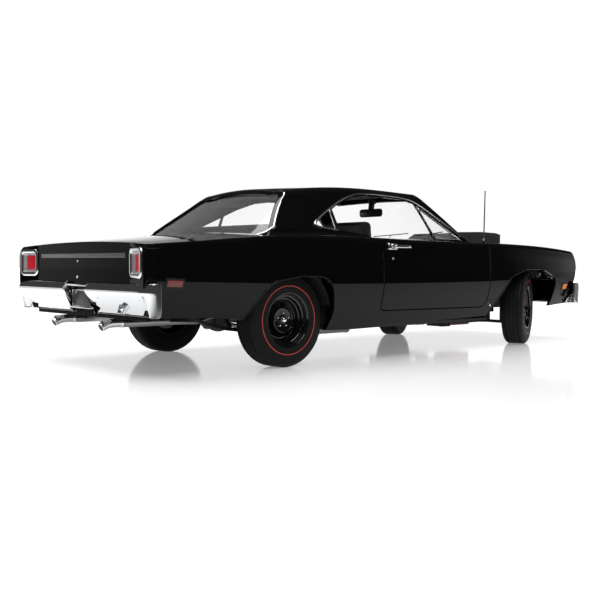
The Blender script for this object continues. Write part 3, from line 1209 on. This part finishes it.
class CAR_OT_engine(bpy.types.Operator):
    """Engine, air cleaner and the fittings of the engine bay"""
    bl_idname = "model_car.engine"
    bl_label = "Engine bay"

    def block(self):
        engine = Piece("Engine", "body", "engine_paint", "black_trim", "bare_metal", "chrome")
        engine.fit(BLOCK)
        for place in BOTH_SIDES:
            engine.add(brick((3.4, -110.6, 29.0), (13.2, -75.6, 37.4), 0.6), place)
            engine.add(brick((5.8, -109.4, 36.6), (13.9, -76.8, 40.0), 0.9, 3), place, "black_trim")
            for k in range(6):
                y = -107.4 + k * 5.7
                for x, z in ((6.3, 37.0), (13.4, 36.8)):
                    engine.add(rod((x, y, z), (x, y, z + 1.2), 0.4, 0.4, 6), place, "chrome")
            engine.add(rod((9.8, -80.5, 39.6), (9.8, -80.5, 41.2), 1.2, 1.1, 20, 0.2), place, "chrome")
            for k in range(4):
                y = -105.0 + k * 8.0
                port = pipe([(12.8, y, 31.6), (14.4, y + 0.8, 31.0), (14.8, y + 3.0, 29.8)], 0.95)
                engine.add(port, place, "bare_metal")
                wire = ((11.6, y + 1.6, 35.0), (14.2, y + 1.8, 36.6), (13.8, y + 2.2, 39.4), PLUG_WIRE_HUB)
                engine.add(pipe(wire, 0.18, 6), place, "black_trim")
            engine.add(rod((14.9, -104, 29.4), (14.9, -78, 28.6), 1.15, 1.25, 16, 0.3), place, "bare_metal")
        for x, z, r, front in PULLEYS:
            grooved = ((0.0, 0.0), (0.0, r), (0.4, r), (0.75, r - 0.5), (1.1, r), (1.5, r), (1.5, r * 0.6),
                       (1.0, r * 0.5), (1.0, 0.0))
            engine.add(lathe(grooved, 32), turned((x, front + 1.5, z), -90, "Z"), "bare_metal")
            engine.add(rod((x, front + 1.5, z), (x, -112.0, z), 0.8, 0.8, 14), None, "bare_metal")
        belt = [Vector((x, BELT_Y, z)) for x, z in BELT]
        engine.add(swept(belt, FORWARD, 0.3, 0.5, 6, True), None, "black_trim")
        engine.fit(BLOCK_FITTINGS)
        engine.done("engine")

    def air_cleaner(self):
        cleaner = Piece("Air cleaner", "body", "scoop_paint", "chrome")
        upright = turned((0, CLEANER_Y, 0), -90, "Y")
        cleaner.add(lathe(AIR_DRUM, 64), upright)
        cleaner.add(rod((0, CLEANER_Y, 46.8), (0, CLEANER_Y, 47.9), 0.35, 0.3, 12), None, "chrome")
        wing_nut = brick((-1.2, CLEANER_Y - 0.2, 47.3), (1.2, CLEANER_Y + 0.2, 47.8), 0.15)
        cleaner.add(wing_nut, None, "chrome")
        cleaner.add(slab(((-3.0, -106.5), (3.0, -106.5), (2.4, -98.5), (-2.4, -98.5)), 2, 43.6, 45.6, 0.4))
        cleaner.done("air_cleaner")

    def fittings(self):
        bay = Piece("Engine bay fittings", "body", "black_trim", "bare_metal", "chrome", slot="underbody")
        for k in range(FAN_BLADES):
            place = turned(FAN_HUB, 360 * k / FAN_BLADES, "Y") @ turned((0, 0, 0), FAN_PITCH, "Z")
            bay.add(brick((-0.9, -0.15, 1.0), (0.9, 0.15, 7.2), 0.08), place, "bare_metal")
        bay.fit(RADIATOR)
        for k in range(18):
            x = -18.0 + k * 2.1
            bay.add(brick((x, -127.3, 22.5), (x + 0.25, -127.0, 45.0)))
        bay.add(pipe(eased(TOP_HOSE), 1.1, 14))
        bay.add(brick((14.6, -126.0, 24.0), (22.4, -115.4, 35.4), 0.5))
        for y in (-123.4, -118.0):
            bay.add(rod((18.6, y, 35.2), (18.6, y, 36.3), 0.6, 0.5, 14, 0.1), None, "bare_metal")
        bay.fit(BRAKE_FITTINGS)
        bay.add(pipe(eased(HEATER_HOSE), 0.6))
        bay.done()

    def execute(self, context):
        self.block()
        self.air_cleaner()
        self.fittings()
        return {"FINISHED"}


DIFF_Z, COVER_BOLTS, COVER_BOLT_R = 18.2, 10, 4.7
TUNNEL_JOINTS = ((-59.6, 16.3), (62.0, 18.8))       # y, z


class CAR_OT_underside(bpy.types.Operator):
    """Shock absorbers, straps, joints and ribs under the floor"""
    bl_idname = "model_car.underside"
    bl_label = "Underside"

    def execute(self, context):
        under = Piece("Underside fittings", "body", "underbody", "bare_metal", "black_trim")
        for place in BOTH_SIDES:
            under.add(rod((16.0, 78.5, 14.6), (13.0, 84.0, 25.0), 1.1, 1.1, 16, 0.2), place, "black_trim")
            under.add(rod((26.0, -92.4, 16.2), (24.8, -92.4, 26.6), 1.2, 1.2, 16, 0.2), place, "black_trim")
            for y in (108.0, 122.0):
                under.add(brick((8.2, y, 17.9), (9.6, y + 1.4, 24.9), 0.1), place, "bare_metal")
            for y in (-36.0, -14.0, 30.0):
                under.add(brick((18.0, y, 13.5), (44.0, y + 2.0, 14.1), 0.25), place)
            for x in (18.5, 31.0, 42.0):
                under.add(brick((x, -48.0, 13.6), (x + 1.6, 46.0, 14.1), 0.2), place)
            for x, y in ((12.6, 6.0), (12.9, 30.0)):
                clamp = rod((x, y - 0.6, 11.4), (x, y + 0.6, 11.4), 2.6, 2.6, 24, 0.1)
                under.add(clamp, place, "bare_metal")
        under.add(rod((0, 78.6, DIFF_Z), (0, 80.4, DIFF_Z), 5.4, 4.2, 32, 0.4))
        for k in range(COVER_BOLTS):
            angle = math.tau * k / COVER_BOLTS
            x, z = COVER_BOLT_R * math.cos(angle), DIFF_Z + COVER_BOLT_R * math.sin(angle)
            under.add(rod((x, 78.9, z), (x, 79.8, z), 0.4, 0.4, 6), None, "bare_metal")
        for y, z in TUNNEL_JOINTS:
            under.add(rod((0, y - 1.2, z), (0, y + 1.2, z), 1.7, 1.7, 20, 0.3), None, "bare_metal")
        under.done()
        return {"FINISHED"}


# ---------------------------------------------------------------- studio, in metres
# soft boxes: name, place, target, size, watts
SOFT_BOXES = (
    ("Top box", (0.0, 0.2, 0.8), (0, 0.2, 0), (1.3, 0.8), 13.0),
    ("Side box", (-0.9, 0.5, 0.5), (0, 0, 0.03), (0.5, 0.3), 1.0))
AWAY = (0.745, -0.667, 0.0)                 # level direction from the camera past the car
SCREEN_EDGE, SCREEN_TOP = (0.15, 0.35), (0.2, 0.1)      # where the white screen fades out
DARK_STUDIO, FILL = 0.05, 0.3
FLOOR_R, FLOOR_TONE, FAR_FLOOR_TONE = 6.0, 0.8, 0.03
LIT_FLOOR, WHITE_FLOOR = (0.2, 0.5), (0.22, 1.0)        # distances over which each of the two changes
FLOOR_GLOW, FLOOR_BOUNCE = 0.5, 0.25


def area_light(name, place, target, size, power):
    data = bpy.data.lights.new(name, "AREA")
    data.shape = "RECTANGLE"
    data.size, data.size_y = size
    data.energy = power
    made = bpy.data.objects.new(name, data)
    made.location = place
    made.rotation_euler = (Vector(target) - Vector(place)).to_track_quat("-Z", "Y").to_euler()
    bpy.context.scene.collection.objects.link(made)


def build_camera(stage):
    back = Vector((math.sin(stage.azimuth) * math.cos(stage.elevation),
                   -math.cos(stage.azimuth) * math.cos(stage.elevation), math.sin(stage.elevation)))
    right = Vector((0, 0, 1)).cross(back).normalized()
    up = back.cross(right)
    c, s = math.cos(stage.roll), math.sin(stage.roll)
    turned = Matrix((c * right + s * up, c * up - s * right, back)).transposed()
    data = bpy.data.cameras.new("Camera")
    data.lens, data.sensor_width = stage.lens, 36.0
    data.clip_start = 0.01
    made = bpy.data.objects.new("Camera", data)
    made.matrix_world = Matrix.Translation(stage.camera_place) @ turned.to_4x4()
    bpy.context.scene.collection.objects.link(made)
    bpy.context.scene.camera = made


def build_world():
    """White to look at, a low white screen past the car, and a dark studio for whatever else gloss shows."""
    world = bpy.data.worlds.new("Studio")
    bpy.context.scene.world = world
    world.use_nodes = True
    tree = world.node_tree
    backdrop = tree.nodes["Background"]
    backdrop.inputs["Color"].default_value = (1, 1, 1, 1)
    paths = node(tree, "ShaderNodeLightPath")
    coords = node(tree, "ShaderNodeTexCoord")
    away = node(tree, "ShaderNodeVectorMath", operation="DOT_PRODUCT")
    away.inputs[1].default_value = AWAY
    parts = node(tree, "ShaderNodeSeparateXYZ")
    link(tree, coords.outputs["Generated"], away.inputs[0])
    link(tree, coords.outputs["Generated"], parts.inputs[0])
    beyond = ranged(tree, away.outputs["Value"], *SCREEN_EDGE)
    low = ranged(tree, parts.outputs["Z"], *SCREEN_TOP)
    gloss = ranged(tree, maths(tree, "MULTIPLY", beyond, low), 0.0, 1.0, DARK_STUDIO, 1.0)
    seen = maths(tree, "MAXIMUM", paths.outputs["Is Camera Ray"], paths.outputs["Is Transmission Ray"])
    unseen = node(tree, "ShaderNodeMix", data_type="FLOAT", in_A=FILL)
    link(tree, paths.outputs["Is Glossy Ray"], unseen.inputs["Factor"])
    link(tree, gloss, unseen.inputs["B"])
    strength = node(tree, "ShaderNodeMix", data_type="FLOAT", in_B=1.0)
    link(tree, seen, strength.inputs["Factor"])
    link(tree, unseen.outputs["Result"], strength.inputs["A"])
    link(tree, strength.outputs["Result"], backdrop.inputs["Strength"])


def build_floor():
    """A pale glossy floor that keeps its shadow near the car and is plain white far off."""
    bm = bmesh.new()
    bmesh.ops.create_circle(bm, cap_ends=True, segments=96, radius=FLOOR_R)
    mesh = bpy.data.meshes.new("Floor")
    bm.to_mesh(mesh)
    bm.free()
    floor = bpy.data.objects.new("Floor", mesh)
    bpy.context.scene.collection.objects.link(floor)
    made, tree, shader = surface("Studio floor", (FLOOR_TONE,) * 3, 0.1, Specular_IOR_Level=0.6)
    paths = node(tree, "ShaderNodeLightPath")
    glossy = paths.outputs["Is Glossy Ray"]
    coords = node(tree, "ShaderNodeTexCoord")
    apart = node(tree, "ShaderNodeVectorMath", operation="LENGTH")
    link(tree, coords.outputs["Object"], apart.inputs[0])
    distance = apart.outputs["Value"]
    near = ranged(tree, distance, *LIT_FLOOR, 1.0, 0.0)
    far = ranged(tree, distance, *WHITE_FLOOR)
    edge_on = node(tree, "ShaderNodeFresnel", in_IOR=1.45)
    kept = ranged(tree, edge_on.outputs[0], 0.0, 1.0, FLOOR_GLOW, 0.0)
    by_camera = maths(tree, "MULTIPLY", paths.outputs["Is Camera Ray"], maths(tree, "MAXIMUM", kept, far))
    by_gloss = maths(tree, "MULTIPLY", glossy, maths(tree, "MULTIPLY", near, FLOOR_BOUNCE))
    shader.inputs["Emission Color"].default_value = (1, 1, 1, 1)
    link(tree, maths(tree, "ADD", by_camera, by_gloss), shader.inputs["Emission Strength"])
    dark = maths(tree, "MULTIPLY", maths(tree, "SUBTRACT", 1.0, near), glossy)
    tone = node(tree, "ShaderNodeMapRange", in_To_Min=FLOOR_TONE, in_To_Max=FAR_FLOOR_TONE)
    link(tree, dark, tone.inputs["Value"])
    link(tree, tone.outputs["Result"], shader.inputs["Base Color"])
    mesh.materials.append(made)


class CAR_OT_stage(bpy.types.Operator):
    """Floor, soft lights, backdrop and camera"""
    bl_idname = "model_car.stage"
    bl_label = "Stage"

    def execute(self, context):
        context.scene.view_settings.view_transform = "Standard"
        build_camera(context.scene.car_stage)
        build_world()
        build_floor()
        for box in SOFT_BOXES:
            area_light(*box)
        return {"FINISHED"}


OPERATORS = (CAR_OT_finishes, CAR_OT_wheels, CAR_OT_mouldings, CAR_OT_doors, CAR_OT_tail, CAR_OT_bumpers,
             CAR_OT_front, CAR_OT_cabin, CAR_OT_engine, CAR_OT_underside, CAR_OT_stage)
SETTINGS = {"car_paint": CarPaint, "car_trim": CarTrim, "car_wheels": CarWheels, "car_stage": CarStage}


class CAR_PT_panel(bpy.types.Panel):
    """The settings, and the pieces in the order they are built"""
    bl_idname = "CAR_PT_panel"
    bl_label = "Model car"
    bl_space_type = "VIEW_3D"
    bl_region_type = "UI"
    bl_category = "Model Car"

    def draw(self, context):
        for name in SETTINGS:
            group = getattr(context.scene, name)
            column = self.layout.column()
            for key in group.__annotations__:
                column.prop(group, key)
        for operator in OPERATORS:
            self.layout.operator(operator.bl_idname)


CLASSES = (*SETTINGS.values(), *OPERATORS, CAR_PT_panel)


def register():
    for cls in CLASSES:
        bpy.utils.register_class(cls)
    for name, group in SETTINGS.items():
        setattr(bpy.types.Scene, name, bpy.props.PointerProperty(type=group))


def unregister():
    for name in SETTINGS:
        delattr(bpy.types.Scene, name)
    for cls in reversed(CLASSES):
        bpy.utils.unregister_class(cls)


def main():
    register()
    for operator in OPERATORS:
        module, name = operator.bl_idname.split(".")
        getattr(getattr(bpy.ops, module), name)()


if __name__ == "__main__":
    main()
